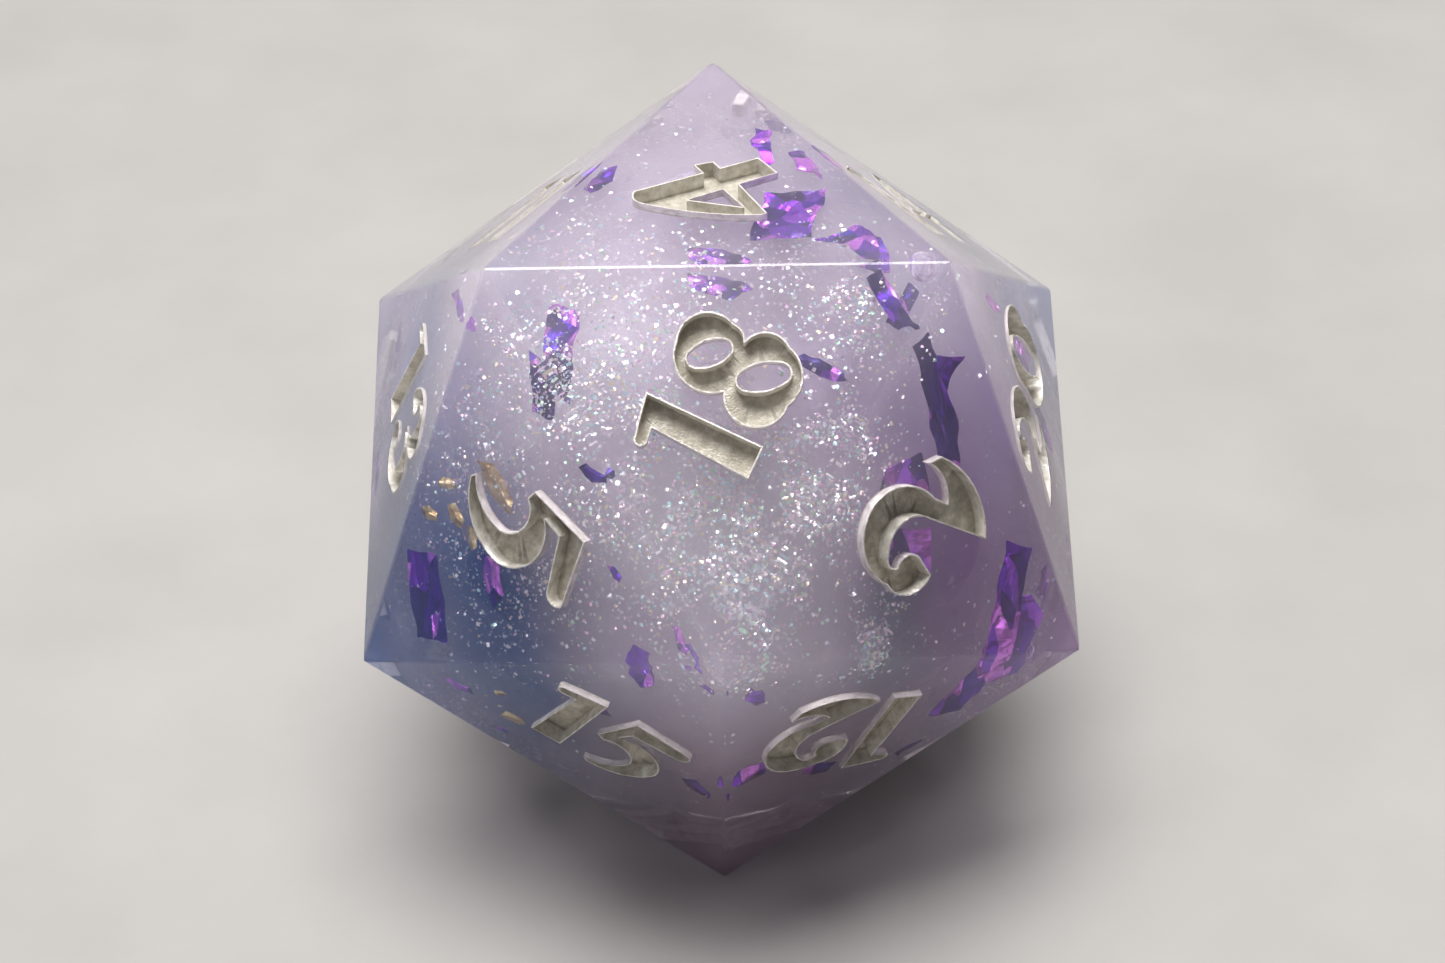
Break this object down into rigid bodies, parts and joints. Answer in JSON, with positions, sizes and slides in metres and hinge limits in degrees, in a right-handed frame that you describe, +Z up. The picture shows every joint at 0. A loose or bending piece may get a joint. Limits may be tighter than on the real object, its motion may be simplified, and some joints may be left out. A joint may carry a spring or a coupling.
{
  "type": "polyhedral die",
  "caption": "Sharp-edged icosahedral gaming die cast in milky lavender resin, with engraved pewter-painted numerals, violet foil shards and white glitter sealed inside.",
  "frame": {"origin": "centre of the bounding box's underside, on the surface that the die rests on, straight under the die's centre", "axes": "+Z up, from the resting face numbered 17 to the top face numbered 4; +Y to the back, towards the corner shared by faces 3, 6, 9, 16 and 19; the corner shared by faces 2, 5, 12, 15 and 18 points to the front along -Y"},
  "size_m": [0.0214, 0.0246, 0.02],
  "materials": {
    "resin": "clear cast epoxy, milky lavender tint, polished to a sharp hairline edge",
    "numeral_paint": "satin warm pewter paint, wiped off the face so that it stays in the engraving",
    "violet_foil": "mirror violet film with indigo and magenta creases",
    "gold_leaf": "matt crumpled leaf",
    "glitter": "iridescent white platelets"
  },
  "bodies": {
    "root": {"foil_band_shadow": "violet_foil", "foil_behind_two": "violet_foil", "foil_behind_zero": "violet_foil", "foil_bent_band": "violet_foil", "foil_beside_four": "violet_foil", "foil_by_eight": "violet_foil", "foil_by_eleven": "violet_foil", "foil_by_fourteen": "violet_foil", "foil_by_gold": "violet_foil", "foil_by_nine": "violet_foil", "foil_by_nineteen": "violet_foil", "foil_by_six": "violet_foil", "foil_by_sixteen": "violet_foil", "foil_chips": "violet_foil", "foil_comma": "violet_foil", "foil_crumple": "violet_foil", "foil_flap": "violet_foil", "foil_fork_left": "violet_foil", "foil_fork_right": "violet_foil", "foil_haze": "violet_foil", "foil_indigo": "violet_foil", "foil_long_strip": "violet_foil", "foil_sliver_by_eight": "violet_foil", "foil_sliver_by_thirteen": "violet_foil", "foil_sliver_by_twenty": "violet_foil", "foil_two_curl": "violet_foil", "foil_under_four": "violet_foil", "foil_under_twenty": "violet_foil", "glitter_flakes": "glitter", "gold_leaf": "gold_leaf", "paint_01": "numeral_paint", "paint_02": "numeral_paint", "paint_03": "numeral_paint", "paint_04": "numeral_paint", "paint_05": "numeral_paint", "paint_06": "numeral_paint", "paint_07": "numeral_paint", "paint_08": "numeral_paint", "paint_09": "numeral_paint", "paint_10": "numeral_paint", "paint_11": "numeral_paint", "paint_12": "numeral_paint", "paint_13": "numeral_paint", "paint_14": "numeral_paint", "paint_15": "numeral_paint", "paint_16": "numeral_paint", "paint_17": "numeral_paint", "paint_18": "numeral_paint", "paint_19": "numeral_paint", "paint_20": "numeral_paint", "resin_body": "resin"}
  },
  "joints": []
}
